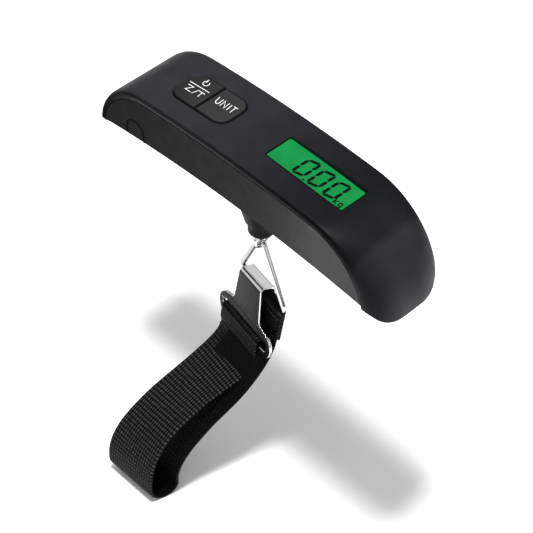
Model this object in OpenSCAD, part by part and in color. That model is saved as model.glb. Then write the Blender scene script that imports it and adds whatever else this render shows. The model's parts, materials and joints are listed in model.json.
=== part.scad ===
// Digital luggage scale: an arched hand grip with a display and two keys on top, a swivelling pull stem
// under its middle, and a webbing loop with a metal hook.
// Millimetres. X runs along the handle toward the display, -Y is the wall with the battery tab, +Z is up.
// The origin is under the middle of the side walls, level with the two ends of the arched underside.

/* [Handle] */
// Length over both ends, level with the ends of the underside
handle_l = 136.8; // [136:0.2:138]
// Width across the side walls
handle_w = 33; // [32.5:0.25:34]
// Height of the middle of the top above the ends of the underside
crown_h = 24; // [23.8:0.1:24.4]
// Radius of the long arch along the top
top_r = 586; // [560:1:620]
// Radius that turns the top down over the end by the display
right_r = 29.7; // [29.3:0.1:30.1]
// Radius that turns the top down over the end by the keys
left_r = 26.3; // [26:0.1:26.8]
// How far the middle of the end by the display stands out past the side walls
right_bulge = 5; // [4.7:0.1:5.2]
// Width of the rounded zone beside that end
right_round = 12.2; // [11.8:0.1:12.6]
// How far the middle of the end by the keys stands out past the side walls
left_bulge = 1; // [0.9:0.1:1.2]
// Width of the rounded zone beside that end
left_round = 3; // [2.8:0.1:3.4]
// How far the cover's rounded end tongues hang below the side walls
tongue_drop = 7; // [6:0.5:7.5]
// Corner radius of those tongues
tongue_r = 9; // [8:0.5:10]
// Rise of the arched underside
arch_rise = 4; // [3.8:0.1:4.2]
// Chamfer along the two lower edges
edge_chamfer = 0.4; // [0.3:0.1:1]
// Thickness of the arched cover
cover_t = 2.2; // [2.1:0.1:2.3]
// Thickness of the side walls and the floor
wall = 2; // [1.8:0.1:2.1]

/* [Display and keys] */
// Length of the display window
window_l = 35.6; // [34:0.2:36]
// Width of the display window
window_w = 12.4; // [12:0.2:13]
// Distance of the window's centre from the middle of the handle
window_x = 25.6; // [25:0.1:26]
// Length of the pair of keys
keys_l = 26.8; // [26:0.2:27]
// Width of the keys
keys_w = 14.6; // [14:0.2:15]
// Distance of the pair's centre from the middle of the handle
keys_x = 25.3; // [25:0.1:25.6]
// Corner radius of the pair of keys
keys_r = 3.2; // [2.5:0.1:3.5]
// Slot between the two keys
keys_gap = 0.5; // [0.4:0.1:0.6]
// How far the keys stand above the cover
keys_proud = 0.7; // [0.5:0.1:0.8]
// Travel of a key
key_travel = 0.6; // [0.4:0.1:0.6]

/* [Battery] */
// Diameter of the coin cell
cell_d = 20; // [20:0.1:20]
// Thickness of the coin cell
cell_t = 3.2; // [2.5:0.1:3.2]
// Distance of the cell from the middle of the handle
cell_x = 46.5; // [46:0.1:47]
// Width of the thumb tab on the front wall
tab_w = 8.6; // [8:0.1:9]
// Top of the thumb tab
tab_top = 9.7; // [9:0.1:10]

/* [Neck and wire link] */
// Radius of the neck's round lower end
neck_r = 5; // [4.8:0.1:5.2]
// Depth of the neck's lower face below the origin
neck_z = 21.7; // [21.5:0.1:22]
// Radius of the pull stem
stem_r = 2; // [1.9:0.05:2.05]
// Angle by which the hanging pieces are turned on the swivel
swivel_angle = -11.2; // [-45:0.1:45]
// Radius of the link wire
wire_r = 1; // [0.9:0.05:1]
// Half length of the link's base, centre to centre
link_half = 13.85; // [13.8:0.05:14.2]
// Height of the link from its pivot to its base
link_h = 24.1; // [23.5:0.1:25]

/* [Hook buckle] */
// Thickness of the sheet
sheet_t = 1.2; // [1:0.1:1.3]
// Half width of the hook where it bends over the link
hook_half = 7.5; // [7:0.1:7.5]
// Inside radius of the hook
hook_r = 2.7; // [2.7:0.05:2.9]
// Angle by which the plate leans forward
plate_lean = 7; // [5:0.5:8]
// Sideways seat of the buckle on the link
buckle_x = -2.5; // [-2.5:0.1:0]
// Half length of the slotted cross bar
bar_half = 17.3; // [16.8:0.1:17.8]

/* [Strap] */
// Width of the webbing
strap_w = 24; // [23:0.5:24]
// Thickness of the webbing
strap_t = 1.3; // [1.1:0.1:1.3]

/* [Hidden] */

$fn = 48;
gap = 0.05;          // hairline gap between pieces that seat on each other
ledge = 0.1;         // how much lower the cover's underside lies above the side walls
play = 0.12;         // gap round a loose piece
big = 200;           // size of a cutting block

// Side outline of the handle: one long arch, turned down at each end by an arc tangent to it.
side_reach = (handle_l - left_bulge - right_bulge) / 2;
top_z = crown_h - top_r;
foot_d = norm([side_reach, -top_z]);
foot_dir = [side_reach, -top_z] / foot_d;
outline_low = -8;
top_steps = 12;
end_steps = 14;

arch_r = (pow(side_reach, 2) + pow(arch_rise, 2)) / (2 * arch_rise);
arch_fn = 720;

cavity_half = 56.5;
post_x = 60;
post_y = 8;
post_r = 2.5;
post_z = 4.5;
case_screw_r = 1;
case_head_r = 2;
case_head_z = 2.2;

board_z = 14.5;
board_t = 1.2;
board_x = [-44, 46];
board_half_w = 12.2;
board_top = board_z + board_t;

glass_size = [39, 16, 1.8];
glass_top = 21.5;
glass_tilt = 3.07;
light_size = [37.5, 12.4, 1.6];
connector_t = 1.5;

switch_w = 6;
switch_h = 1.8;
switch_stem_r = 1.5;
switch_stem_top = 18.6;
flange = 0.8;
half_key_l = (keys_l - keys_gap) / 2;
power_x = -keys_x - (half_key_l + keys_gap) / 2;
unit_x = -keys_x + (half_key_l + keys_gap) / 2;

beam_x = [-31, 5.5];
beam_z = [7.5, 12.5];
beam_half_w = 6;
beam_screw_x = [-28, -22];
beam_screw_r = 1.2;
gauge_x = -12;

cell_z = 4.3;
cell_wall_r = cell_d / 2 + 0.3;
cell_wall_t = 1.3;
door_t = 1.2;
door_r = cell_wall_r + 1.6;
contact_t = 0.3;

neck_top = arch_rise - 0.15;
neck_top_r = 11;
neck_fillet = 4.6;
neck_fillet_z = -18.5;
neck_fillet_turn = 46;
spigot_r = 6;
spigot_top = 6.4;
nut_z = 13.15;
eye_r = 2.6;
eye_wire_r = 0.9;
pivot_z = -27.4;
eye_z = pivot_z + 0.6;
apex_half = 1.6;
bend_r = wire_r + 0.04;
base_z = pivot_z - link_h;

bar_z = -19.2;
bar_r = 6;
slot_half = 14.7;
slot_r = 2.2;
bar_low = bar_z - bar_r;
bar_up = bar_z - slot_r;
fold_r = strap_t + gap + sheet_t / 2;
front_mid = -hook_r - sheet_t / 2;
front_end = -30.2;

tab_neck_w = 22;
tab_tail = [-0.75, 1.85];
tab_tail_z = [-14.5, -2];
stitch = [1.3, 0.35];

// Centre of the arc of radius r that is tangent to the long arch and meets the base at side_reach.
function end_centre(r) =
    let (along = (pow(top_r - r, 2) - pow(r, 2) + pow(foot_d, 2)) / (2 * foot_d),
         across = sqrt(pow(top_r - r, 2) - pow(along, 2)))
    [foot_dir.x * along - foot_dir.y * across, top_z + foot_dir.y * along + foot_dir.x * across];
function end_start(r) = atan2(end_centre(r).x, end_centre(r).y - top_z);

// Points of the handle's side outline, moved inward by inset, with each end moved outward by reach.
function end_side(r, inset, reach) =
    let (centre = end_centre(r), start = end_start(r), low = acos((outline_low - centre.y) / (r - inset)))
    [for (i = [1 : end_steps])
        let (a = start + (low - start) * i / end_steps)
        [centre.x + reach + (r - inset) * sin(a), centre.y + (r - inset) * cos(a)]];
function mirrored(points) = [for (i = [len(points) - 1 : -1 : 0]) [-points[i].x, points[i].y]];
function right_end(inset, reach) = end_side(right_r, inset, reach);
function left_end(inset, reach) = mirrored(end_side(left_r, inset, reach));
function top_arch(inset) = [
    for (i = [0 : top_steps])
        let (a = end_start(right_r) * i / top_steps - end_start(left_r) * (1 - i / top_steps))
        [(top_r - inset) * sin(a), top_z + (top_r - inset) * cos(a)]
];
function outline(inset) = concat(left_end(inset, 0), top_arch(inset), right_end(inset, 0));

// Rectangle with round corners, centred on the origin.
function rounded(l, w, r, steps = 6) = [
    for (c = [[1, 1, 0], [-1, 1, 90], [-1, -1, 180], [1, -1, 270]], i = [0 : steps])
        let (a = c.z + 90 * i / steps)
        [c.x * (l / 2 - r) + r * cos(a), c.y * (w / 2 - r) + r * sin(a)]
];

function bezier(p, steps) = [
    for (i = [0 : steps])
        let (t = i / steps, s = 1 - t)
        s * s * s * p[0] + 3 * s * s * t * p[1] + 3 * s * t * t * p[2] + t * t * t * p[3]
];

// Webbing's centre line in the plane across the link: down from the hook, round the bottom, up to the link.
loop_low = [-53.5, -120];
loop_r = 6;
loop_front = bezier([[-7, -81.6], [-8.6, -93], [-60, -86], loop_low - [loop_r, 0]], 18);
loop_turn = [for (a = [190 : 10 : 350]) loop_low + loop_r * [cos(a), sin(a)]];
loop_back = bezier([loop_low + [loop_r, 0], [-47.5, -103], [1.6, -102], [0.55, -66.2]], 18);
loop_path = concat(loop_front, loop_turn, loop_back);
function path_normal(path, i) =
    let (d = path[min(i + 1, len(path) - 1)] - path[max(i - 1, 0)])
    [-d.y, d.x] / norm(d);
function path_side(path, offset) = [for (i = [0 : len(path) - 1]) path[i] + offset * path_normal(path, i)];
function reversed(points) = [for (i = [len(points) - 1 : -1 : 0]) points[i]];

module slab(width, inset) {
    rotate([90, 0, 0])
        linear_extrude(width, center = true)
            polygon(outline(inset));
}

// Slices of one end that get narrower as they reach further; side is 1 by the display and -1 by the keys.
module bulged_end(side, width, inset) {
    bulge = side > 0 ? right_bulge : left_bulge;
    round_w = side > 0 ? right_round : left_round;
    round_r = (pow(bulge, 2) + pow(round_w, 2)) / (2 * bulge);
    for (i = [0 : 3])
        let (run = round_w * i / 4, reach = bulge - round_r + sqrt(pow(round_r, 2) - pow(run, 2)))
        rotate([90, 0, 0])
            linear_extrude(width - 2 * (round_w - run), center = true)
                polygon(side > 0 ? right_end(inset, reach) : left_end(inset, reach));
}

// Handle block whose ends bulge.
module crowned(width, inset) {
    hull() {
        slab(width, inset);
        bulged_end(1, width, inset);
        bulged_end(-1, width, inset);
    }
}

// Everything below the arched underside, raised by rise.
module under_arch(rise = 0) {
    translate([0, 0, arch_rise - arch_r])
        rotate([90, 0, 0])
            cylinder(h = big, r = arch_r + rise, center = true, $fn = arch_fn);
}

module lower_edges() {
    for (side = [-1, 1])
        translate([0, 0, arch_rise - arch_r])
            rotate([90, 0, 0])
                rotate_extrude($fn = arch_fn)
                    polygon([[arch_r - 1, side * (handle_w / 2 - edge_chamfer - 1)],
                             [arch_r - 1, side * (handle_w / 2 + 1)],
                             [arch_r + edge_chamfer + 1, side * (handle_w / 2 + 1)]]);
}

module window_prism(margin) {
    translate([window_x, 0, 0])
        linear_extrude(big)
            polygon(rounded(window_l + 2 * margin, window_w + 2 * margin, 0.8));
}

module keys_prism(margin) {
    translate([-keys_x, 0, 0])
        linear_extrude(big)
            polygon(rounded(keys_l + 2 * margin, keys_w + 2 * margin, keys_r + margin));
}

module at_posts(z) {
    for (x = [-post_x, post_x], y = [-post_y, post_y])
        translate([x, y, z])
            children();
}

module at_display() {
    translate([window_x, 0, glass_top])
        rotate([0, glass_tilt, 0])
            children();
}

// Block hanging from the glass's top face.
module display_block(size, drop) {
    at_display()
        translate([-size.x / 2, -size.y / 2, -drop - size.z])
            cube(size);
}

// Frame of everything that hangs below the neck: X along the link's base.
module hanging() {
    rotate([0, 0, swivel_angle])
        children();
}

// Drawing in the plane across the link (first axis Y, second axis Z), given a width along X.
module across_link(width) {
    rotate([90, 0, 90])
        linear_extrude(width, center = true)
            children();
}

// Frame of the buckle's plate: the link's base on the X axis, the plate straight down from it.
module buckle_frame() {
    hanging()
        translate([buckle_x, 0, base_z])
            rotate([-plate_lean, 0, 0])
                children();
}

module rod(from, to, r) {
    d = to - from;
    translate(from)
        rotate([0, acos(d.z / norm(d)), atan2(d.y, d.x)])
            cylinder(h = norm(d), r = r);
}

// Everything below the cover's ends, which are cut to round tongues.
module tongue_trim() {
    rotate([90, 0, 90])
        linear_extrude(big, center = true)
            difference() {
                translate([-handle_w / 2 - 1, -big / 2])
                    square([handle_w + 2, big / 2 + 1]);
                translate([0, big / 4 - tongue_drop])
                    polygon(rounded(handle_w + 0.6, big / 2, tongue_r));
            }
}

module top_cover() {
    color("#26282d")
        difference() {
            union() {
                difference() {
                    crowned(handle_w, 0);
                    slab(handle_w + 1, cover_t + ledge);
                    crowned(handle_w - 2 * cover_t, cover_t);
                    tongue_trim();
                }
                intersection() {
                    crowned(handle_w, 0.5);
                    at_posts(post_z + gap)
                        cylinder(h = big, r = post_r);
                }
            }
            window_prism(0);
            keys_prism(play);
            display_block(glass_size + [0.4, 0.4, 4], -gap);
            at_posts(0)
                cylinder(h = 8, r = case_screw_r + gap);
        }
}

module thumb_tab(margin) {
    low = -1;
    round_z = tab_top - tab_w / 2;
    translate([-cell_x, -handle_w / 2 + wall / 2, 0])
        rotate([90, 0, 0])
            linear_extrude(wall + 2 * margin, center = true) {
                translate([-tab_w / 2 - margin, low])
                    square([tab_w + 2 * margin, round_z - low]);
                translate([0, round_z])
                    circle(r = tab_w / 2 + margin);
            }
}

module door_tongue(margin) {
    translate([-cell_x - tab_w / 2 - margin, -handle_w / 2, -5])
        cube([tab_w + 2 * margin, handle_w / 2, 20]);
}

// Flat part of the door and its tongue, of the thickness t above the underside.
module door_plate(t, margin) {
    difference() {
        intersection() {
            union() {
                translate([-cell_x, 0, -5])
                    cylinder(h = 20, r = door_r + margin);
                door_tongue(margin);
            }
            under_arch(t);
        }
        under_arch(-margin);
    }
}

module lower_shell() {
    shelf = [3, 3, 0.4];
    color("#3b3c3e")
        difference() {
            union() {
                difference() {
                    union() {
                        slab(handle_w, cover_t + ledge + gap);
                        crowned(handle_w - 2 * (cover_t + play), cover_t + play);
                    }
                    under_arch();
                    lower_edges();
                    difference() {
                        translate([-cavity_half, -handle_w / 2 + wall, -5])
                            cube([2 * cavity_half, handle_w - 2 * wall, 40]);
                        under_arch(wall);
                    }
                }
                difference() {
                    union() {
                        translate([-cell_x, 0, 1])
                            cylinder(h = cell_z + cell_t - 1, r = cell_wall_r + cell_wall_t);
                        translate([beam_x[0], -beam_half_w, 4])
                            cube([11, 2 * beam_half_w, beam_z[0] - gap - 4]);
                        for (x = [-36, 38], side = [-1, 1])
                            translate([x - shelf.x / 2, side * (handle_w / 2 - wall - shelf.y / 2 + 0.5) - shelf.y / 2, 3])
                                cube([shelf.x, shelf.y, board_z - gap - 3]);
                    }
                    under_arch(1);
                }
            }
            translate([-cell_x, 0, -5])
                cylinder(h = 20, r = cell_wall_r);
            translate([-cell_x + cell_wall_r - 1, -2.3, cell_z])
                cube([4, 4.6, 10]);
            door_plate(door_t + gap, play);
            thumb_tab(play);
            for (x = beam_screw_x)
                translate([x, 0, 5])
                    cylinder(h = 10, r = beam_screw_r + gap);
            cylinder(h = 20, r = spigot_r + gap);
            at_posts(-1)
                cylinder(h = 10, r = case_screw_r + gap);
            at_posts(-3)
                cylinder(h = case_head_z + 3, r = case_head_r + play);
            at_posts(post_z)
                cylinder(h = 10, r = post_r + play);
        }
}

// Key cap: a prism whose top follows the cover, a flange that keeps it in, and a plunger over its switch.
module key(x, side) {
    inner = -keys_x + side * keys_gap / 2;
    plunger_low = switch_stem_top + key_travel + gap;
    intersection() {
        union() {
            intersection() {
                keys_prism(0);
                difference() {
                    slab(handle_w, -keys_proud);
                    slab(handle_w + 1, cover_t + gap + 1);
                }
            }
            intersection() {
                keys_prism(flange);
                difference() {
                    slab(handle_w, cover_t + gap);
                    slab(handle_w + 1, cover_t + gap + 1);
                }
            }
            translate([x, 0, plunger_low])
                cylinder(h = crown_h - cover_t - 1 - plunger_low, r = 1.8);
        }
        translate([side > 0 ? inner : inner - big, -big / 2, 0])
            cube([big, big, big]);
    }
}

module power_button() {
    color("#3a3c41")
        key(power_x, -1);
}

module unit_button() {
    color("#3a3c41")
        key(unit_x, 1);
}

module display_window() {
    color([0.75, 0.95, 0.8, 0.4])
        intersection() {
            window_prism(-0.1);
            difference() {
                slab(handle_w, 0.3);
                slab(handle_w + 1, 1.35);
            }
        }
}

module display_glass() {
    color("#3fd07a")
        display_block(glass_size, 0);
}

module display_backlight() {
    color("#2fe070")
        display_block(light_size, glass_size.z + gap);
}

module display_connector() {
    half = 17;
    slope = tan(glass_tilt);
    lid = glass_top - glass_size.z / cos(glass_tilt) - gap;
    color("#8a8f96")
        for (side = [-1, 1])
            translate([window_x, side * (light_size.y / 2 + connector_t / 2 + 0.2), 0])
                rotate([90, 0, 0])
                    linear_extrude(connector_t, center = true)
                        polygon([[-half, board_top + gap], [half, board_top + gap],
                                 [half, lid - half * slope], [-half, lid + half * slope]]);
}

module circuit_board() {
    color("#1f6b45")
        difference() {
            translate([board_x[0], -board_half_w, board_z])
                cube([board_x[1] - board_x[0], 2 * board_half_w, board_t]);
            translate([0, 0, board_z - 1])
                cylinder(h = board_t + 2, r = 5.2);
        }
}

module processor_blob() {
    color("#151515")
        translate([24, 0, board_z - 1.2])
            cylinder(h = 1.2, r1 = 3.2, r2 = 4);
}

module board_capacitors() {
    color("#b08a4a")
        for (x = [12, 34, 40], side = [-1, 1])
            translate([x, side * 7 - 0.8, board_z - 1.3])
                cube([3.2, 1.6, 1.3]);
}

module tact_switch(x) {
    translate([x - switch_w / 2, -switch_w / 2, board_top])
        cube([switch_w, switch_w, switch_h]);
    translate([x, 0, board_top])
        cylinder(h = switch_stem_top - board_top, r = switch_stem_r);
}

module power_switch() {
    color("#c9ccd1")
        tact_switch(power_x);
}

module unit_switch() {
    color("#c9ccd1")
        tact_switch(unit_x);
}

// Bending beam, thinned in the middle by two joined holes where the gauges sit.
module load_cell() {
    window_half = 4;
    window_r = 1.7;
    middle_z = (beam_z[0] + beam_z[1]) / 2;
    color("#c4c8cc")
        difference() {
            translate([beam_x[0], -beam_half_w, beam_z[0]])
                cube([beam_x[1] - beam_x[0], 2 * beam_half_w, beam_z[1] - beam_z[0]]);
            for (side = [-1, 1])
                translate([gauge_x + side * window_half, 0, middle_z])
                    rotate([90, 0, 0])
                        cylinder(h = 20, r = window_r, center = true);
            translate([gauge_x - window_half, -10, middle_z - 0.8])
                cube([2 * window_half, 20, 1.6]);
            cylinder(h = 20, r = stem_r + 0.3);
            for (x = beam_screw_x)
                translate([x, 0, 0])
                    cylinder(h = 20, r = beam_screw_r + 0.1);
        }
}

module strain_gauges() {
    gauge = [6, 5, 0.15];
    color("#c98a3a")
        for (z = [beam_z[0] - gauge.z, beam_z[1]])
            translate([gauge_x - gauge.x / 2, -gauge.y / 2, z])
                cube(gauge);
}

module load_cell_screws() {
    color("#9aa0a6")
        for (x = beam_screw_x)
            translate([x, 0, beam_z[1]])
                difference() {
                    union() {
                        cylinder(h = 1.6, r = 2.2);
                        translate([0, 0, -7])
                            cylinder(h = 7.1, r = beam_screw_r);
                    }
                    translate([-0.35, -3, 1.1])
                        cube([0.7, 6, 1]);
                }
}

module gauge_wires() {
    color("#c23b3b")
        for (i = [0 : 3])
            translate([gauge_x + 3.6, -2.4 + 1.6 * i, beam_z[1]])
                cylinder(h = board_z - beam_z[1], r = 0.3, $fn = 16);
}

module coin_cell() {
    color("#cfd2d6")
        translate([-cell_x, 0, cell_z]) {
            cylinder(h = cell_t - 0.6, r = cell_d / 2);
            cylinder(h = cell_t, r = cell_d / 2 - 1.4);
        }
}

module battery_contact_plus() {
    color("#d8c06a")
        translate([-cell_x + cell_d / 2 + gap, -2, cell_z + 0.4])
            cube([contact_t, 4, board_z - cell_z - 0.4]);
}

// Leaf that comes down from the board and presses on the cell's upper face.
module battery_contact_minus() {
    leaf_z = cell_z + cell_t + gap;
    knee = 5;
    color("#d8c06a")
        translate([-cell_x, 0, 0])
            rotate([90, 0, 0])
                linear_extrude(5, center = true)
                    polygon([[-3, leaf_z], [knee, leaf_z], [knee, board_z], [knee - contact_t, board_z],
                             [knee - contact_t, leaf_z + contact_t], [-3, leaf_z + contact_t]]);
}

module battery_door() {
    color("#3b3c3e")
        difference() {
            union() {
                door_plate(door_t, 0);
                difference() {
                    intersection() {
                        thumb_tab(0);
                        translate([-big / 2, -handle_w / 2, 0])
                            cube([big, wall, 20]);
                    }
                    under_arch();
                }
            }
            lower_edges();
        }
}

module case_screws() {
    color("#9aa0a6")
        at_posts(0) {
            translate([0, 0, case_head_z - 1.3])
                cylinder(h = 1.3, r = case_head_r);
            translate([0, 0, case_head_z - 0.1])
                cylinder(h = 5.5, r = case_screw_r);
        }
}

module hook_neck() {
    turn = [for (a = [0 : 6 : neck_fillet_turn])
                [neck_r + neck_fillet * (1 - cos(a)), neck_fillet_z + neck_fillet * sin(a)]];
    foot_round = 0.8;
    foot = [for (a = [-90 : 15 : 0])
                [neck_r - foot_round + foot_round * cos(a), -neck_z + foot_round + foot_round * sin(a)]];
    bore_r = stem_r + gap;
    bore_top = -12;
    hollow_r = 4;
    color("#23272c")
        rotate_extrude()
            polygon(concat([[bore_r, -neck_z]], foot, turn,
                           [[neck_top_r, neck_top], [spigot_r, neck_top], [spigot_r, spigot_top],
                            [hollow_r, spigot_top], [hollow_r, bore_top], [bore_r, bore_top]]));
}

module swivel_washer() {
    color("#b4b8bd")
        difference() {
            translate([0, 0, beam_z[1]])
                cylinder(h = 0.6, r = 4.6);
            cylinder(h = 20, r = stem_r + 0.3);
        }
}

module swivel_nut() {
    color("#a9adb2")
        translate([0, 0, nut_z])
            difference() {
                cylinder(h = 2.4, r = 3.6, $fn = 6);
                translate([0, 0, -1])
                    cylinder(h = 5, r = stem_r + gap);
            }
}

module swivel_eye() {
    shoulder_z = -22;
    color("#c4c8cc")
        hanging() {
            translate([0, 0, shoulder_z])
                cylinder(h = 16.9 - shoulder_z, r = stem_r);
            translate([0, 0, shoulder_z - 1.5])
                cylinder(h = 1.5, r1 = 1, r2 = stem_r);
            translate([0, 0, eye_z])
                rotate([0, 90, 0])
                    rotate_extrude()
                        translate([eye_r, 0])
                            circle(r = eye_wire_r, $fn = 24);
        }
}

module wire_link() {
    corners = [[-apex_half, 0, pivot_z], [apex_half, 0, pivot_z],
               [link_half, 0, base_z], [-link_half, 0, base_z]];
    color("#d0d3d6")
        hanging()
            for (i = [0 : 3]) {
                rod(corners[i], corners[(i + 1) % 4], wire_r);
                translate(corners[i])
                    sphere(r = bend_r, $fn = 32);
            }
}

// Webbing wrapped round the link's base, its two layers sewn together below.
module strap_back_tab() {
    ring_r = wire_r + gap + strap_t;
    color("#141414")
        hanging()
            translate([0, 0, base_z]) {
                across_link(tab_neck_w)
                    difference() {
                        union() {
                            circle(r = ring_r);
                            translate([tab_tail[0], tab_tail_z[1] - 1])
                                square([tab_tail[1] - tab_tail[0], -tab_tail_z[1] + 1]);
                        }
                        circle(r = wire_r + gap);
                    }
                across_link(strap_w)
                    translate([tab_tail[0], tab_tail_z[0]])
                        square([tab_tail[1] - tab_tail[0], tab_tail_z[1] - 0.9 - tab_tail_z[0]]);
            }
}

// Row of thread stitches across the webbing.
module stitch_row(count) {
    pitch = (strap_w - 3) / (count - 1);
    for (i = [0 : count - 1])
        translate([-(strap_w - 3) / 2 + pitch * i, 0, 0])
            cube([stitch[0], stitch[1], stitch[1]], center = true);
}

module back_stitching() {
    color("#2a2a2a")
        hanging()
            for (z = [-6, -12])
                translate([0, tab_tail[1] + stitch[1] / 2, base_z + z])
                    stitch_row(11);
}

module strap_loop() {
    color("#141414")
        hanging()
            translate([buckle_x / 2, 0, 0])
                across_link(strap_w)
                    polygon(concat(path_side(loop_path, strap_t / 2), reversed(path_side(loop_path, -strap_t / 2))));
}

// Sheet hook: a bend over the link, a plate that widens downward, and a cross bar with a slot for the webbing.
module hook_buckle() {
    tip_turn = 20;
    outer_r = hook_r + sheet_t;
    bend = [for (a = [-tip_turn : 10 : 180]) [cos(a), sin(a)]];
    waist_half = 8.4;
    waist_z = -10.5;
    shoulder = [12.5, bar_z + bar_r - 0.6];
    color("#c9ccd0")
        buckle_frame() {
            across_link(2 * hook_half)
                polygon(concat(outer_r * bend, [[-outer_r, -4], [-hook_r, -4]], hook_r * reversed(bend)));
            translate([0, -hook_r, 0])
                rotate([90, 0, 0])
                    linear_extrude(sheet_t)
                        difference() {
                            union() {
                                polygon([[-hook_half, -2], [hook_half, -2], [waist_half, waist_z],
                                         shoulder, [shoulder.x, bar_z], [-shoulder.x, bar_z],
                                         [-shoulder.x, shoulder.y], [-waist_half, waist_z]]);
                                for (side = [-1, 1])
                                    translate([side * (bar_half - bar_r), bar_z])
                                        circle(r = bar_r);
                                translate([-bar_half + bar_r, bar_low])
                                    square([2 * (bar_half - bar_r), bar_r + 1]);
                            }
                            for (side = [-1, 1])
                                translate([side * (slot_half - slot_r), bar_z])
                                    circle(r = slot_r);
                            translate([-slot_half + slot_r, bar_up])
                                square([2 * (slot_half - slot_r), 2 * slot_r]);
                        }
        }
}

// Webbing folded over the buckle's bar, its two layers sewn together below.
module strap_front_tab() {
    fold_z = bar_up + gap + strap_t - fold_r;
    sewn = strap_t + 0.05;
    fold = [for (a = [180 : -15 : 0]) [front_mid, fold_z] + fold_r * [cos(a), sin(a)]];
    color("#141414")
        buckle_frame()
            across_link(strap_w)
                difference() {
                    polygon(concat(fold, [[front_mid + fold_r, bar_low - gap], [front_mid + sewn, bar_low - 3],
                                          [front_mid + sewn, front_end], [front_mid - sewn, front_end],
                                          [front_mid - sewn, bar_low - 3], [front_mid - fold_r, bar_low - gap]]));
                    translate([front_mid - sheet_t / 2 - gap, bar_low - gap])
                        square([sheet_t + 2 * gap, bar_up - bar_low + 2 * gap]);
                }
}

module front_stitching() {
    color("#2a2a2a")
        buckle_frame()
            translate([0, front_mid - strap_t - 0.05 - stitch[1] / 2, front_end + 1])
                stitch_row(11);
}

top_cover();
lower_shell();
power_button();
unit_button();
display_window();
display_glass();
display_backlight();
display_connector();
circuit_board();
processor_blob();
board_capacitors();
power_switch();
unit_switch();
load_cell();
strain_gauges();
load_cell_screws();
gauge_wires();
coin_cell();
battery_contact_plus();
battery_contact_minus();
battery_door();
case_screws();
hook_neck();
swivel_washer();
swivel_nut();
swivel_eye();
wire_link();
strap_back_tab();
back_stitching();
strap_loop();
hook_buckle();
strap_front_tab();
front_stitching();
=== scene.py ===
"""Looks of a digital luggage scale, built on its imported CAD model.

Lengths in this file are millimetres until mesh_piece() turns them into metres. The row frame has X along the
handle toward the display, -Y the wall with the battery tab and +Z up. What hangs below the neck has its own
frame, turned about Z: "along" is the direction of the link's base and "out" is square to it.
"""

import json
import math

import bmesh
import bpy
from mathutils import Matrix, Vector


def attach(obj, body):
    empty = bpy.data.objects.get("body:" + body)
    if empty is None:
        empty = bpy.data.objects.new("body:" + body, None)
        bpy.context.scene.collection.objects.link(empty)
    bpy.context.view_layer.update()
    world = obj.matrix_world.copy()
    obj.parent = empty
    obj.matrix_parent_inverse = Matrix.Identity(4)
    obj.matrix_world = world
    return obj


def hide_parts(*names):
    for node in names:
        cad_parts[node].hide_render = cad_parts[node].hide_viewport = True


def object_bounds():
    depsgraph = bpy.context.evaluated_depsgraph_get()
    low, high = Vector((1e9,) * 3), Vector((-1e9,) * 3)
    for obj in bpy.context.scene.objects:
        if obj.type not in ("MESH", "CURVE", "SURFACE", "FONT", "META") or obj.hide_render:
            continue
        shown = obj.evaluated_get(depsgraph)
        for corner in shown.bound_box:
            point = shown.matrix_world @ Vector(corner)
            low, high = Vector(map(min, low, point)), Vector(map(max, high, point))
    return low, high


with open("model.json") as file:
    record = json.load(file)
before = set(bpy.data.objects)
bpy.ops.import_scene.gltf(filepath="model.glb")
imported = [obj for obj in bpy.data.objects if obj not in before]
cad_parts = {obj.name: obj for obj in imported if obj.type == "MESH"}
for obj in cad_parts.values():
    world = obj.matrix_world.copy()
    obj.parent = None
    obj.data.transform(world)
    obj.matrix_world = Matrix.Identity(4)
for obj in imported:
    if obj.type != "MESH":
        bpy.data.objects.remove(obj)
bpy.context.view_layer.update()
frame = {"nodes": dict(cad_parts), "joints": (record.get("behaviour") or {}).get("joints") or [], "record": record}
JOINTS = {joint["name"]: joint for joint in frame["joints"]}
MM = 0.001

# Handle: one long arch, turned down at both ends by smaller arcs.
HALF_W = 16.5
SIDE_REACH = 65.4
CROWN_H = 24.0
TOP_R = 586.0
COVER_T = 2.2
CREASE_R = 1.0
TONGUE_FOOT = -7.5
END_STEPS = 30
TOP_STEPS = 64

# The ends' rounding is read this much nearer the side for each millimetre below the skin.
ROUNDING_DRIFT = 0.14

# Display window and keys, as (middle x, length, width, corner radius).
WINDOW = (25.6, 35.6, 12.4, 0.8)
KEYS = (-25.2, 27.0, 15.0, 4.8)
KEY_PLAY = 0.35
KEY_SPLIT = 1.0
KEY_PROUD = 0.7
KEY_SKIRT = 2.1
KEY_RIM = 0.45
MARK_RISE = 0.06
MARK_W = 0.3

# Lit panel under the window. Its digits' upright bars lean a little, and their level bars climb.
PANEL_DEPTH = 0.42
PANEL_T = 0.12
PANEL_STEPS = 24
DIGIT_AT = (19.4, -4.8)
DIGIT_PITCH = 6.95
DIGIT_W = 4.3
DIGIT_H = 7.7
DIGIT_BAR = 1.15
DIGIT_LEAN = 0.04
DIGIT_RISE = 0.26

# Thumb tab of the battery door, on the front wall.
TAB_X = -46.5
TAB_HALF_W = 4.3
TAB_TOP = 9.7
# Radius of the dark tube of painted shadow round the tab.
GAP_SHADE_R = 0.4

# Where the joints put the hanging pieces: the link's turn about the stem, its pivot and its base.
SWIVEL_TURN = math.atan2(JOINTS["link_swing"]["axis"][1], JOINTS["link_swing"]["axis"][0])
PIVOT_Z = JOINTS["link_swing"]["pos_m"][2] / MM
BASE_Z = JOINTS["loop_swing"]["pos_m"][2] / MM

# Wire link.
WIRE_R = 1.1
LINK_LEFT = 13.85
LINK_RIGHT = 16.4
APEX_HALF = 1.6

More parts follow.
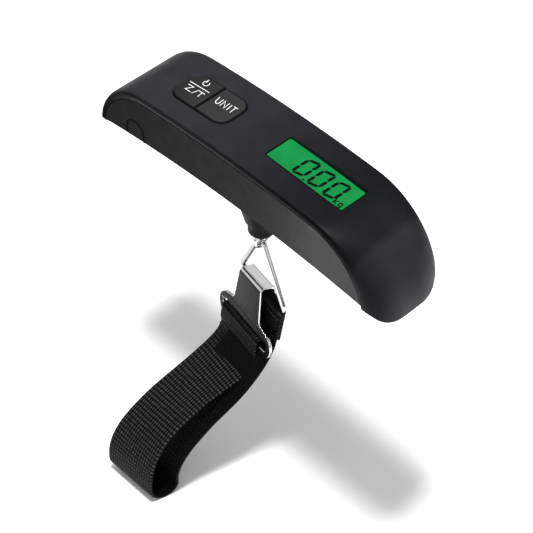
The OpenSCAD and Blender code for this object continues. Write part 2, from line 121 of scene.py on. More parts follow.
# Buckle: a sheet bent over the link, that widens downward and ends in a bar with a slot between round ears.
# PLATE_OUT is the middle of its sheet.
SHEET_T = 1.2
HOOK_R = 2.7
HOOK_TOP = 3.6
HOOK_HALF = 7.05
PLATE_OUT = -(HOOK_R + SHEET_T / 2)
PLATE_FLARE = 0.09
WAIST_Z = -10.4
WAIST_R = 2.6
PLATE_LEAN = math.radians(7)
BUCKLE_ALONG = -2.5
BAR_Z = -19.2
EAR_R = 6.0
EAR_X = 11.3
SLOT = (29.4, 4.4)

# Webbing. Its weave has columns RIB apart and rows PICK apart.
STRAP_W = 24.0
STRAP_T = 1.3
LAYER_GAP = 0.03
RIB = 1.25
PICK = 1.7

# Webbing sewn behind the link: its top, its lean from upright and how far it is doubled.
TAIL_ALONG = 1.5
TAIL_TOP = Vector((0.5, -55.0))
TAIL_LEAN = math.radians(11)
TAIL_DOWN = Vector((-math.sin(TAIL_LEAN), -math.cos(TAIL_LEAN)))
TAIL_BACK = Vector((math.cos(TAIL_LEAN), -math.sin(TAIL_LEAN)))
TAIL_L = 12.0

# Loop: the middle and radius of its bottom, and where it reaches the webbing folded over the buckle's bar.
LOOP_LOW = Vector((-52.4, -124.5))
LOOP_R = 5.8
LOOP_MEETS_FLAP = Vector((-8.0, -80.0))
FLAP_ALONG = -4.3
FLAP_END = -30.2

# Seams: stitches across the webbing, their length and the thread's radius.
STITCHES = 11
STITCH_L = 1.5
STITCH_RISE = 0.12
THREAD_R = 0.19

# Levels of the studio's dome, as (height, level): dark at the horizon, pale above, with two dim bands.
SKY = ((0.04, 0.05), (0.2, 0.95), (0.55, 1.0), (0.68, 0.4), (0.76, 1.0), (0.84, 0.4), (0.92, 0.9))


# ---------------------------------------------------------------- places

def hang(along, out, z):
    """Row-frame point of a point given in the hanging pieces' frame."""
    c, s = math.cos(SWIVEL_TURN), math.sin(SWIVEL_TURN)
    return Vector((along * c - out * s, along * s + out * c, z))


def lean(along, out, z):
    """Hanging-frame point of a point of the buckle, whose own z runs down the leaning plate from the link."""
    c, s = math.cos(PLATE_LEAN), math.sin(PLATE_LEAN)
    return Vector((along + BUCKLE_ALONG, out * c + z * s, BASE_Z - out * s + z * c))


def buckle_point(along, out, z):
    """Row-frame point of a point of the buckle's own frame."""
    return hang(*lean(along, out, z))


def top_height(x):
    """Height of the handle's top on its centre line."""
    return CROWN_H - TOP_R + math.sqrt(TOP_R**2 - x**2)


class End:
    """One end of the handle, described as if it were the right one.

    r turns the top down over it, bulge is how far its middle stands out past the side walls, rounding the
    width of the rounded zone beside that, and foot the height of its edge at the side walls. The edge falls
    from there to TONGUE_FOOT in the middle, the more squarely the higher power is.
    """

    def __init__(self, r, bulge, rounding, foot, power):
        self.r, self.bulge, self.rounding, self.foot, self.power = r, bulge, rounding, foot, power
        centre_z = CROWN_H - TOP_R
        base = math.hypot(SIDE_REACH, centre_z)
        ux, uz = SIDE_REACH / base, -centre_z / base
        along = ((TOP_R - r) ** 2 - r**2 + base**2) / (2 * base)
        across = math.sqrt((TOP_R - r) ** 2 - along**2)
        self.x = ux * along - uz * across
        self.z = centre_z + uz * along + ux * across
        self.start = math.atan2(self.x, self.z - centre_z)

    def reach(self, y):
        """How far the end stands out at that distance from the middle."""
        run = abs(y) - (HALF_W - self.rounding)
        if run <= 0:
            return self.bulge
        r = (self.bulge**2 + self.rounding**2) / (2 * self.bulge)
        return self.bulge - r + math.sqrt(max(r * r - run * run, 0))

    def edge(self, y):
        """Height of the end's lower edge."""
        return TONGUE_FOOT + (self.foot - TONGUE_FOOT) * (abs(y) / HALF_W) ** self.power


RIGHT_END = End(29.7, 5.0, 12.2, -0.2, 4.3)
LEFT_END = End(26.3, 1.0, 3.0, 0.5, 3)


def skin(station, y, inset):
    """Point of the handle's skin, moved in by inset. Stations run from the right end's foot to the left's."""
    last = 2 * END_STEPS + TOP_STEPS
    flip = station > last / 2
    end = LEFT_END if flip else RIGHT_END
    station = last - station if flip else station
    reach = end.reach(abs(y) + ROUNDING_DRIFT * inset)
    if station <= END_STEPS:
        low = math.acos((end.edge(y) - end.z) / end.r)
        a = low + (end.start - low) * station / END_STEPS
        x, z = end.x + (end.r - inset) * math.sin(a), end.z + (end.r - inset) * math.cos(a)
    else:
        a = end.start * (1 - 2 * (station - END_STEPS) / TOP_STEPS)
        x, z = (TOP_R - inset) * math.sin(a), CROWN_H - TOP_R + (TOP_R - inset) * math.cos(a)
        reach *= a / end.start
    return Vector((-x - reach if flip else x + reach, y, z))


# ---------------------------------------------------------------- outlines and paths

def rounded_outline(length, width, radii, steps=6):
    """Rectangle centred on the origin, with a radius for each corner, anticlockwise from the (+,+) one."""
    points = []
    for (sx, sy, start), r in zip(((1, 1, 0), (-1, 1, 90), (-1, -1, 180), (1, -1, 270)), radii):
        for i in range(steps + 1):
            a = math.radians(start + 90 * i / steps)
            points.append((sx * (length / 2 - r) + r * math.cos(a), sy * (width / 2 - r) + r * math.sin(a)))
    return points


FILLET_STEPS = 8


def filleted(points, radii):
    """Closed plane outline through the points, with each corner turned on an arc of its radius."""
    made = []
    for i, r in enumerate(radii):
        here = Vector(points[i])
        before = (Vector(points[i - 1]) - here).normalized()
        after = (Vector(points[(i + 1) % len(points)]) - here).normalized()
        half = math.acos(max(-1, min(1, before.dot(after)))) / 2
        centre = here + (before + after).normalized() * r / math.sin(half)
        first = here + before * r / math.tan(half) - centre
        last = here + after * r / math.tan(half) - centre
        for k in range(FILLET_STEPS + 1):
            made.append(centre + r * first.slerp(last, k / FILLET_STEPS))
    return made


def bezier(p0, p1, p2, p3, steps):
    """Cubic curve from p0 to p3, pulled toward p1 and p2."""
    a, b, c, d = Vector(p0), Vector(p1), Vector(p2), Vector(p3)
    made = []
    for i in range(steps + 1):
        t = i / steps
        s = 1 - t
        made.append(s**3 * a + 3 * s * s * t * b + 3 * s * t * t * c + t**3 * d)
    return made


def arc(centre, r, start, stop, steps):
    """Points of an arc in a plane, angles in degrees."""
    angles = (math.radians(start + (stop - start) * i / steps) for i in range(steps + 1))
    return [Vector((centre[0] + r * math.cos(a), centre[1] + r * math.sin(a))) for a in angles]


def resampled(points, step):
    """The same path with points about step apart."""
    lengths = [0.0]
    for a, b in zip(points, points[1:]):
        lengths.append(lengths[-1] + (b - a).length)
    count = max(2, round(lengths[-1] / step))
    made, k = [], 0
    for i in range(count + 1):
        want = lengths[-1] * i / count
        while k < len(points) - 2 and lengths[k + 1] < want:
            k += 1
        span = lengths[k + 1] - lengths[k]
        made.append(points[k].lerp(points[k + 1], (want - lengths[k]) / span if span else 0))
    return made


def smoothstep(a, b, t):
    """0 up to a and 1 from b on, with a smooth rise between them."""
    u = max(0.0, min(1.0, (t - a) / (b - a)))
    return u * u * (3 - 2 * u)


# ---------------------------------------------------------------- meshes

def mesh_piece(name, points, faces, material, uvs=None, sharp=40):
    """Object made of a closed mesh given in millimetres, smooth but for edges sharper than that angle."""
    mesh = bpy.data.meshes.new(name)
    mesh.from_pydata([Vector(p) * MM for p in points], [], faces)
    if uvs:
        layer = mesh.uv_layers.new(name="weave")
        for loop in mesh.loops:
            layer.data[loop.index].uv = uvs[loop.vertex_index]
    obj = bpy.data.objects.new(name, mesh)
    bpy.context.scene.collection.objects.link(obj)
    if material:
        mesh.materials.append(material)
    shade(obj, sharp)
    return obj


def shade(obj, sharp=40):
    """Outward faces, smooth shading, and edges sharper than the angle kept crisp."""
    bm = bmesh.new()
    bm.from_mesh(obj.data)
    bmesh.ops.recalc_face_normals(bm, faces=bm.faces)
    for face in bm.faces:
        face.smooth = True
    for edge in bm.edges:
        edge.smooth = len(edge.link_faces) < 2 or edge.calc_face_angle(0) < math.radians(sharp)
    bm.to_mesh(obj.data)
    bm.free()


def lofted(sections, capped=True):
    """Points and faces of a skin through closed sections that have the same number of points."""
    n = len(sections[0])
    points = [p for section in sections for p in section]
    faces = []
    for i in range(len(sections) - 1):
        for j in range(n):
            k = (j + 1) % n
            faces.append((i * n + j, i * n + k, (i + 1) * n + k, (i + 1) * n + j))
    if capped:
        faces.append(tuple(reversed(range(n))))
        faces.append(tuple((len(sections) - 1) * n + j for j in range(n)))
    return points, faces


def joined(parts):
    """One list of points and faces from several."""
    points, faces = [], []
    for more_points, more_faces in parts:
        faces.extend(tuple(len(points) + i for i in face) for face in more_faces)
        points.extend(more_points)
    return points, faces


def tube(path, radius, across, sides=16, closed=False):
    """Round wire along a path; across is the direction square to the path's plane."""
    rings = []
    count = len(path)
    for i, p in enumerate(path):
        ahead = path[(i + 1) % count] if closed or i < count - 1 else p
        behind = path[i - 1] if closed or i > 0 else p
        side = (ahead - behind).normalized().cross(across).normalized()
        turns = (2 * math.pi * k / sides for k in range(sides))
        rings.append([p + radius * (math.cos(t) * side + math.sin(t) * across) for t in turns])
    if closed:
        return lofted(rings + [rings[0]], capped=False)
    return lofted(rings)


def cut(obj, cutter):
    """Takes the cutter's solid out of obj for good."""
    step = obj.modifiers.new("cut", "BOOLEAN")
    step.operation = "DIFFERENCE"
    step.solver = "EXACT"
    step.object = cutter
    graph = bpy.context.evaluated_depsgraph_get()
    result = bpy.data.meshes.new_from_object(obj.evaluated_get(graph))
    obj.modifiers.clear()
    obj.data = result
    bpy.data.objects.remove(cutter)
    shade(obj)


def lipped_cutter(outline_of, height_of, lip, depth, place):
    """Closed cutter for a hole whose rim is rounded by lip. outline_of(margin) gives the hole's outline."""
    profile = [(lip + 0.3, 1.0), (lip + 0.3, 0.3), (lip, 0.0)]
    for t in (30, 60, 90):
        profile.append((lip - lip * math.sin(math.radians(t)), -lip + lip * math.cos(math.radians(t))))
    profile.append((0.0, -depth))
    sections = []
    for margin, rise in profile:
        sections.append([place(x, y, height_of(x, y) + rise) for x, y in outline_of(margin)])
    points, faces = lofted(sections)
    return mesh_piece("cutter", points, faces, None)


def stroke(points, width, height_of, thickness=0.04):
    """Flat printed line along a plane path, laid on a surface given by height_of(x)."""
    left, right = [], []
    for i, p in enumerate(points):
        ahead = points[min(i + 1, len(points) - 1)] - p
        behind = p - points[max(i - 1, 0)]
        direction = (ahead.normalized() + behind.normalized()).normalized()
        side = Vector((-direction.y, direction.x)) * width / 2
        turn = max(0.5, direction.dot((ahead if ahead.length else behind).normalized()))
        left.append(p + side / turn)
        right.append(p - side / turn)
    sections = []
    for a, b in zip(left, right):
        corners = ((a, thickness), (b, thickness), (b, -thickness), (a, -thickness))
        sections.append([Vector((q.x, q.y, height_of(q.x) + rise)) for q, rise in corners])
    return lofted(sections)


# ---------------------------------------------------------------- materials

def add(tree, kind, inputs=None, **settings):
    """New node; each input is a value or another node's output socket."""
    node = tree.nodes.new(kind)
    for key, value in settings.items():
        setattr(node, key, value)
    for key, value in (inputs or {}).items():
        if isinstance(value, bpy.types.NodeSocket):
            tree.links.new(value, node.inputs[key])
        else:
            node.inputs[key].default_value = value
    return node


def blank(name):
    """New material with its node tree and Principled shader."""
    made = bpy.data.materials.new(name)
    made.use_nodes = True
    tree = made.node_tree
    return made, tree, tree.nodes["Principled BSDF"]


def place_of(tree, scale=(1, 1, 1)):
    """Object coordinates in metres, scaled along each axis."""
    coordinates = add(tree, "ShaderNodeTexCoord").outputs["Object"]
    return add(tree, "ShaderNodeMapping", {"Vector": coordinates, "Scale": scale}).outputs["Vector"]


def noise(tree, scale, detail=3.0, roughness=0.55, where=None):
    """Cloudy value from about 0.3 to 0.7, in object coordinates unless told where."""
    inputs = {"Vector": where or place_of(tree), "Scale": scale, "Detail": detail, "Roughness": roughness}
    return add(tree, "ShaderNodeTexNoise", inputs).outputs["Fac"]


def ranged(tree, value, start, stop, low=0.0, high=1.0):
    """From low to high as value goes from start to stop."""
    inputs = {"Value": value, "From Min": start, "From Max": stop, "To Min": low, "To Max": high}
    return add(tree, "ShaderNodeMapRange", inputs).outputs["Result"]


def between(tree, cloud, low, high):
    """From low to high over the usual range of a noise."""
    return ranged(tree, cloud, 0.3, 0.7, low, high)


def mixed(tree, amount, a, b):
    """Colour from a to b as amount goes from 0 to 1; each is a colour or a node's output socket."""
    node = add(tree, "ShaderNodeMix", {"Factor": amount}, data_type="RGBA")
    for key, value in ((6, a), (7, b)):
        if isinstance(value, bpy.types.NodeSocket):
            tree.links.new(value, node.inputs[key])
        else:
            node.inputs[key].default_value = (*value, 1)
    return node.outputs[2]


def calc(tree, operation, a, b=0.0):
    """Result of a maths node."""
    return add(tree, "ShaderNodeMath", {0: a, 1: b}, operation=operation).outputs["Value"]


def bumped(tree, height, distance, normal=None):
    """Surface normal roughened by a height, over the given one if there is one."""
    inputs = {"Height": height, "Distance": distance, "Strength": 1.0}
    if normal:
        inputs["Normal"] = normal
    return add(tree, "ShaderNodeBump", inputs).outputs["Normal"]


def edge_mask(tree, radius):
    """1 on edges tighter than the radius, 0 on open faces."""
    round_normal = add(tree, "ShaderNodeBevel", {"Radius": radius}, samples=4).outputs["Normal"]
    true_normal = add(tree, "ShaderNodeNewGeometry").outputs["Normal"]
    dot = add(tree, "ShaderNodeVectorMath", {0: round_normal, 1: true_normal}, operation="DOT_PRODUCT")
    away = calc(tree, "SUBTRACT", 1.0, dot.outputs["Value"])
    return add(tree, "ShaderNodeClamp", {"Value": calc(tree, "MULTIPLY", away, 6.0)}).outputs["Result"]


def painted_shading_along(tree, painted_shading):
    """Painted light and shade along the handle: a smooth run of levels, given as (x, tone) pairs."""
    x = add(tree, "ShaderNodeSeparateXYZ", {"Vector": place_of(tree)}).outputs["X"]
    share = ranged(tree, x, painted_shading[0][0] * MM, painted_shading[-1][0] * MM)
    ramp = add(tree, "ShaderNodeValToRGB", {"Fac": share})
    ramp.color_ramp.interpolation = "B_SPLINE"
    stops = ramp.color_ramp.elements
    while len(stops) < len(painted_shading):
        stops.new(0.5)
    for stop, (place, tone) in zip(stops, painted_shading):
        stop.position = (place - painted_shading[0][0]) / (painted_shading[-1][0] - painted_shading[0][0])
        stop.color = (tone, tone, tone, 1)
    return ramp.outputs["Color"]


def moulded(name, dark, light, roughness, gloss=0.2, edge=0.2, painted_shading=None, side_shade_kept=1.0):
    """Moulded plastic: fine grain, faint mottling and edges rubbed a little lighter.

    The last two arguments paint light and shade. The first lists places along the handle with the share of its
    tone the skin keeps there, painted shade and light for the studio's light falling off over it. The second is
    the share kept where it turns to a side, painted shade on the cover's lip.
    """
    made, tree, shader = blank(name)
    cloud = noise(tree, 90)
    colour = mixed(tree, between(tree, cloud, 0, 1), dark, light)
    rubbed = tuple(min(1, c * 2.2 + 0.01) for c in light)
    worn = calc(tree, "MULTIPLY", edge_mask(tree, 0.0004), between(tree, noise(tree, 700), 0.1, edge))
    tone = mixed(tree, worn, colour, rubbed)
    if painted_shading:
        # Painted light and shade along the handle, times painted shade on the sides; it dims the gloss as well.
        kept = calc(tree, "MULTIPLY", painted_shading_along(tree, painted_shading), side_shade(tree, side_shade_kept))
        tone = mixed(tree, kept, (0, 0, 0), tone)
        tree.links.new(calc(tree, "MULTIPLY", kept, gloss), shader.inputs["Specular IOR Level"])
    else:
        shader.inputs["Specular IOR Level"].default_value = gloss
    tree.links.new(tone, shader.inputs["Base Color"])
    spread = between(tree, noise(tree, 260, 4), roughness - 0.05, roughness + 0.05)
    tree.links.new(spread, shader.inputs["Roughness"])
    rounded = add(tree, "ShaderNodeBevel", {"Radius": 0.00025}, samples=4).outputs["Normal"]
    tree.links.new(bumped(tree, noise(tree, 5200, 2), 0.000012, rounded), shader.inputs["Normal"])
    return made


def side_shade(tree, kept):
    """Painted shade on faces turned to the handle's sides: 1 on faces that look up or along the handle, falling to
    kept on those that look to its sides.
    """
    normal = add(tree, "ShaderNodeTexCoord").outputs["Normal"]
    turned = calc(tree, "ABSOLUTE", add(tree, "ShaderNodeSeparateXYZ", {"Vector": normal}).outputs["Y"])
    return ranged(tree, turned, 0.1, 0.5, 1.0, kept)


def metal(name, colour, roughness, brushed=(1, 1, 1), painted_dark_reflection=0.0, face=None):
    """Plated metal with faint streaks. Its rim darkening is painted reflection: darker where it turns away, as a
    dark studio wall would show in it.

    face is (direction, colour, roughness): what faces that way, either side, is brushed in the other colour.
    """
    made, tree, shader = blank(name)
    shader.inputs["Metallic"].default_value = 1.0
    streaks = noise(tree, 2600, 3, where=place_of(tree, brushed))
    streak_tone = between(tree, streaks, 0.86, 1.0)
    # Painted reflection: darker where the surface turns away from view, standing for a dark studio wall.
    away = add(tree, "ShaderNodeLayerWeight", {"Blend": 0.5}).outputs["Facing"]
    rim = calc(tree, "MULTIPLY", calc(tree, "POWER", away, 1.6), painted_dark_reflection)
    tint = mixed(tree, rim, mixed(tree, streak_tone, (0, 0, 0), colour), (0.02, 0.02, 0.02))
    polish = between(tree, noise(tree, 500, 3), roughness * 0.8, roughness * 1.25)
    grain = 0.000004
    if face:
        direction, face_colour, face_roughness = face
        normal = add(tree, "ShaderNodeTexCoord").outputs["Normal"]
        facing = add(tree, "ShaderNodeVectorMath", {0: normal, 1: direction}, operation="DOT_PRODUCT")
        turned = calc(tree, "ABSOLUTE", facing.outputs["Value"])
        flat = ranged(tree, turned, 0.86, 0.94)
        speckle = between(tree, noise(tree, 1500, 4, 0.7), 0.55, 1.35)
        tint = mixed(tree, flat, tint, mixed(tree, speckle, (0, 0, 0), face_colour))
        spread = calc(tree, "MULTIPLY", flat, face_roughness - roughness)
        polish = calc(tree, "ADD", polish, spread)
        grain = calc(tree, "ADD", grain, calc(tree, "MULTIPLY", flat, 0.000012))
    tree.links.new(tint, shader.inputs["Base Color"])
    tree.links.new(polish, shader.inputs["Roughness"])
    rounded = add(tree, "ShaderNodeBevel", {"Radius": 0.0003}, samples=4).outputs["Normal"]
    tree.links.new(bumped(tree, streaks, grain, rounded), shader.inputs["Normal"])
    return made


def woven(name, yarn, painted_shade_colour):
    """Webbing woven in a grid of raised floats, with painted highlights on the floats and painted shade between
    them.

    The weave layer counts millimetres across and along the strap. The outer attribute is 1 on its outer side
    and 0 on its inner one, which gets painted shade.
    """
    made, tree, shader = blank(name)
    layer = add(tree, "ShaderNodeUVMap", uv_map="weave").outputs["UV"]
    side = add(tree, "ShaderNodeAttribute", attribute_name="outer").outputs["Fac"]
    wobble = add(tree, "ShaderNodeTexNoise", {"Vector": layer, "Scale": 0.35, "Detail": 2.0}).outputs["Color"]
    shift = add(tree, "ShaderNodeVectorMath", {0: wobble, 1: (0.35, 0.4, 0.0)}, operation="MULTIPLY")
    moved = add(tree, "ShaderNodeVectorMath", {0: layer, 1: shift.outputs["Vector"]}, operation="ADD")
    across, along, _ = add(tree, "ShaderNodeSeparateXYZ", {"Vector": moved.outputs["Vector"]}).outputs
    rib = calc(tree, "ABSOLUTE", calc(tree, "SINE", calc(tree, "MULTIPLY", across, math.pi / RIB)))
    pick = calc(tree, "ABSOLUTE", calc(tree, "SINE", calc(tree, "MULTIPLY", along, math.pi / PICK)))
    cover = calc(tree, "MULTIPLY", calc(tree, "POWER", rib, 0.8), calc(tree, "POWER", pick, 0.7))
    fibre = add(tree, "ShaderNodeTexNoise", {"Vector": layer, "Scale": 5.0, "Detail": 3.0}).outputs["Fac"]
    height = calc(tree, "ADD", cover, calc(tree, "MULTIPLY", fibre, 0.3))
    # Painted highlight on the raised floats and painted shade in the gaps between them, from the weave's height.
    lit = ranged(tree, height, 0.6, 1.15)
    band = add(tree, "ShaderNodeTexNoise", {"Vector": layer, "Scale": 0.55, "Detail": 3.0}).outputs["Fac"]
    # Painted shade: the inner side takes the shade colour all over.
    outer = ranged(tree, side, 0.2, 0.8)
    amount = calc(tree, "MULTIPLY", calc(tree, "MULTIPLY", lit, between(tree, band, 0.35, 1.0)), outer)
    tree.links.new(mixed(tree, amount, painted_shade_colour, yarn), shader.inputs["Base Color"])
    tree.links.new(bumped(tree, height, 0.00035), shader.inputs["Normal"])
    shader.inputs["Roughness"].default_value = 0.6
    shader.inputs["Specular IOR Level"].default_value = 0.06
    return made


def twisted_thread(name, colour):
    """Sewing thread with fine slanting strands."""
    made, tree, shader = blank(name)
    twist = add(tree, "ShaderNodeTexWave", {"Vector": place_of(tree), "Scale": 900.0, "Distortion": 1.5})
    fac = twist.outputs["Fac"]
    tree.links.new(mixed(tree, fac, tuple(c * 0.5 for c in colour), colour), shader.inputs["Base Color"])
    tree.links.new(bumped(tree, fac, 0.00006), shader.inputs["Normal"])
    shader.inputs["Roughness"].default_value = 0.5
    return made


def lit_display(name):
    """Green panel lit from behind, a little uneven."""
    made, tree, shader = blank(name)
    cloud = noise(tree, 110, 2)
    glow = mixed(tree, between(tree, cloud, 0, 1), (0.0015, 0.225, 0.045), (0.004, 0.33, 0.075))
    shader.inputs["Base Color"].default_value = (0.004, 0.02, 0.008, 1)
    shader.inputs["Specular IOR Level"].default_value = 0.05
    tree.links.new(glow, shader.inputs["Emission Color"])
    shader.inputs["Emission Strength"].default_value = 1.0
    shader.inputs["Roughness"].default_value = 0.3
    return made


def clear_window(name):
    """Clear pane with a coating that keeps reflections faint, and a few smears."""
    made, tree, shader = blank(name)
    tree.nodes.remove(shader)
    through = add(tree, "ShaderNodeBsdfTransparent", {"Color": (0.93, 0.97, 0.94, 1)})
    smears = between(tree, noise(tree, 120, 4), 0.08, 0.2)
    gloss = add(tree, "ShaderNodeBsdfGlossy", {"Roughness": smears})
    facing = add(tree, "ShaderNodeLayerWeight", {"Blend": 0.12}).outputs["Fresnel"]
    amount = calc(tree, "MULTIPLY", facing, 0.03)
    both = add(tree, "ShaderNodeMixShader", {0: amount, 1: through.outputs[0], 2: gloss.outputs[0]})
    tree.links.new(both.outputs[0], tree.nodes["Material Output"].inputs["Surface"])
    return made


def inked(name, colour, roughness=0.45):
    """Printed or liquid-crystal ink: thin, with slightly uneven cover."""
    made, tree, shader = blank(name)
    cover = between(tree, noise(tree, 1800, 3), 0, 1)
    tree.links.new(mixed(tree, cover, tuple(c * 0.82 for c in colour), colour), shader.inputs["Base Color"])
    shader.inputs["Roughness"].default_value = roughness
    shader.inputs["Specular IOR Level"].default_value = 0.05
    return made


def solder_mask(name):
    """Circuit board: green lacquer over a grid of tracks."""
    made, tree, shader = blank(name)
    tracks = add(tree, "ShaderNodeTexBrick", {"Vector": place_of(tree), "Scale": 90.0, "Mortar Size": 0.03})
    tree.links.new(mixed(tree, tracks.outputs["Fac"], (0.01, 0.10, 0.04), (0.03, 0.20, 0.08)),
                   shader.inputs["Base Color"])
    tree.links.new(bumped(tree, tracks.outputs["Fac"], 0.00004), shader.inputs["Normal"])
    shader.inputs["Roughness"].default_value = 0.3
    return made


# Painted light and shade: the share of its tone each plastic keeps along the handle, as the studio's light falls
# off over it. Shares above 1 are painted light.
COVER_PAINTED_SHADING = ((-70, 0.02), (-61, 0.05), (-54, 0.4), (-42, 0.95), (-15, 0.75), (10, 0.6), (34, 0.3),
               (57, 0.3), (62, 1.6), (72, 1.1))
TUB_PAINTED_SHADING = ((-70, 0.1), (-45, 0.15), (-15, 0.22), (5, 0.25), (27, 0.4), (40, 1.0), (50, 1.3), (70, 0.8))
KEY_PAINTED_SHADING = ((-40, 0.6), (-30, 0.8), (-20, 1.0), (-10, 1.0))

MATERIALS = {
    "cover": moulded("cover_plastic", (0.012, 0.0125, 0.0155), (0.017, 0.018, 0.022), 0.42, gloss=0.17,
                     edge=0.03, painted_shading=COVER_PAINTED_SHADING, side_shade_kept=0.5),
    "tub": moulded("tub_plastic", (0.032, 0.032, 0.032), (0.038, 0.038, 0.038), 0.5, painted_shading=TUB_PAINTED_SHADING),
    "keys": moulded("key_rubber", (0.013, 0.013, 0.013), (0.016, 0.016, 0.016), 0.6, painted_shading=KEY_PAINTED_SHADING),
    "neck": moulded("neck_plastic", (0.003, 0.005, 0.0055), (0.004, 0.0065, 0.007), 0.5, gloss=0.08),
    "window": clear_window("window_clear"),
    "display": lit_display("display_green"),
    "backlight": lit_display("backlight_green"),
    "connector": moulded("connector_rubber", (0.40, 0.41, 0.44), (0.5, 0.51, 0.54), 0.6),
    "board": solder_mask("board_lacquer"),
    "chip": moulded("chip_epoxy", (0.008, 0.008, 0.009), (0.012, 0.012, 0.013), 0.3),
    "capacitor": moulded("capacitor_ceramic", (0.42, 0.28, 0.15), (0.55, 0.38, 0.22), 0.5),
    "switch": moulded("switch_plastic", (0.5, 0.5, 0.52), (0.62, 0.62, 0.64), 0.4),
    "beam": metal("beam_aluminium", (0.72, 0.73, 0.75), 0.35, brushed=(0.1, 1, 1)),
    "gauge": moulded("gauge_film", (0.5, 0.28, 0.1), (0.62, 0.38, 0.16), 0.35),
    "steel": metal("screw_steel", (0.55, 0.56, 0.58), 0.3),
    "wire": moulded("wire_insulation", (0.5, 0.04, 0.03), (0.62, 0.06, 0.05), 0.4),
    "cell": metal("cell_steel", (0.72, 0.73, 0.75), 0.25),
    "contact": metal("contact_gold", (0.80, 0.62, 0.30), 0.3),
    "chrome": metal("link_chrome", (0.86, 0.86, 0.87), 0.1, painted_dark_reflection=1.0),
    "buckle": metal("buckle_nickel", (0.86, 0.86, 0.87), 0.14, (1, 1, 0.2), painted_dark_reflection=0.25,
                    face=(buckle_point(0, 1, 0) - buckle_point(0, 0, 0), (0.012, 0.012, 0.0125), 0.45)),
    # Yarn colour, then the painted shade colour for the weave's gaps and the webbing's inner side.
    "webbing": woven("webbing_weave", (0.06, 0.06, 0.061), (0.0005, 0.0005, 0.0005)),
    "thread": twisted_thread("seam_thread", (0.03, 0.03, 0.031)),
}
KEY_INK = inked("key_print", (0.72, 0.72, 0.72))
# Liquid-crystal ink of the digits, also used as painted shade for the display's border and the door's gap.
DISPLAY_INK_AND_SHADE = inked("display_ink_and_shade", (0.0004, 0.006, 0.002), 0.9)


def paint_frame():
    """Gives every CAD node the material of its slot in the record."""
    slots = {part["node"]: part["material_slot"] for part in frame["record"]["subparts"]}
    for name, node in frame["nodes"].items():
        node.data.materials.clear()
        node.data.materials.append(MATERIALS[slots[name]])


# ---------------------------------------------------------------- the handle's top

def make_cover():
    """Cover with creased long edges and rounded rims round the window and the keys."""
    crease = [(HALF_W - CREASE_R + p.x, CREASE_R - p.y) for p in arc((0, 0), CREASE_R, 90, 0, 5)]
    edge = crease[1:] + [(HALF_W, COVER_T - 0.25), (HALF_W - 0.12, COVER_T - 0.08)]
    flat = HALF_W - CREASE_R
    spread = [flat * (2 * i / 44 - 1) for i in range(45)]
    over = [(y, 0.0) for y in spread]
    under = [(-y * (HALF_W - 0.3) / flat, COVER_T) for y in spread]
    section = over + edge + under + [(-y, inset) for y, inset in reversed(edge)]
    stations = range(2 * END_STEPS + TOP_STEPS + 1)
    sections = [[skin(station, y, inset) for y, inset in section] for station in stations]
    points, faces = lofted(sections, capped=False)
    n, m = len(over), len(edge)
    for first in (0, len(points) - len(section)):
        rim = [(j, j + 1, 2 * n + m - 2 - j, 2 * n + m - 1 - j) for j in range(n - 1)]
        rim.append(tuple(range(n - 1, n + m + 1)))
        rim.append(tuple(range(2 * n + m - 1, 2 * (n + m))) + (0,))
        faces += [tuple(first + k for k in face) for face in rim]
    cover = mesh_piece("cover", points, faces, MATERIALS["cover"])
    for (middle, length, width, r), lip in ((WINDOW, 0.25), (KEYS, 0.3)):
        def outline_of(margin, length=length, width=width, r=r):
            return rounded_outline(length + 2 * margin, width + 2 * margin, [r + margin] * 4)

        def height_of(x, y, middle=middle):
            return top_height(middle + x)

        def place(x, y, z, middle=middle):
            return Vector((middle + x, y, z))

        cut(cover, lipped_cutter(outline_of, height_of, lip, 8.0, place))
    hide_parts("top_cover")
    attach(cover, "casing")


def make_key(name, node, body, side):
    """Key cap with a rounded rim and a faint crown; side is -1 for the outer key and 1 for the inner one."""
    middle, length, width, r = KEYS
    cap_l = (length - KEY_SPLIT) / 2 - KEY_PLAY
    cap_w = width - 2 * KEY_PLAY
    centre = middle + side * (cap_l + KEY_SPLIT) / 2
    rings = [(0.0, -KEY_SKIRT), (0.0, KEY_PROUD - KEY_RIM)]
    for t in (20, 40, 60, 80):
        a = math.radians(t)
        rings.append((KEY_RIM - KEY_RIM * math.cos(a), KEY_PROUD - KEY_RIM + KEY_RIM * math.sin(a)))
    rings += [(KEY_RIM, KEY_PROUD), (1.2, KEY_PROUD + 0.03), (3.0, KEY_PROUD + 0.06), (5.5, KEY_PROUD + 0.08)]
    sections = []
    for inset, rise in rings:
        outer, inner = max(r - KEY_PLAY - inset, 0.25), max(0.4 - inset, 0.12)
        radii = (inner, outer, outer, inner) if side < 0 else (outer, inner, inner, outer)
        outline = rounded_outline(cap_l - 2 * inset, cap_w - 2 * inset, radii)
        sections.append([Vector((centre + x, y, top_height(centre + x) + rise)) for x, y in outline])
    key = mesh_piece(name, *lofted(sections), MATERIALS["keys"])
    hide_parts(node)
    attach(key, body)


def key_height(x):
    """Height of the marks printed on a key."""
    return top_height(x) + KEY_PROUD + MARK_RISE


def make_print(name, body, lines):
    """White marks on a key, each a path in the row frame's X and Y."""
    marks = joined([stroke([Vector(p) for p in line], MARK_W, key_height) for line in lines])
    ink = mesh_piece(name, *marks, KEY_INK)
    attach(ink, body)


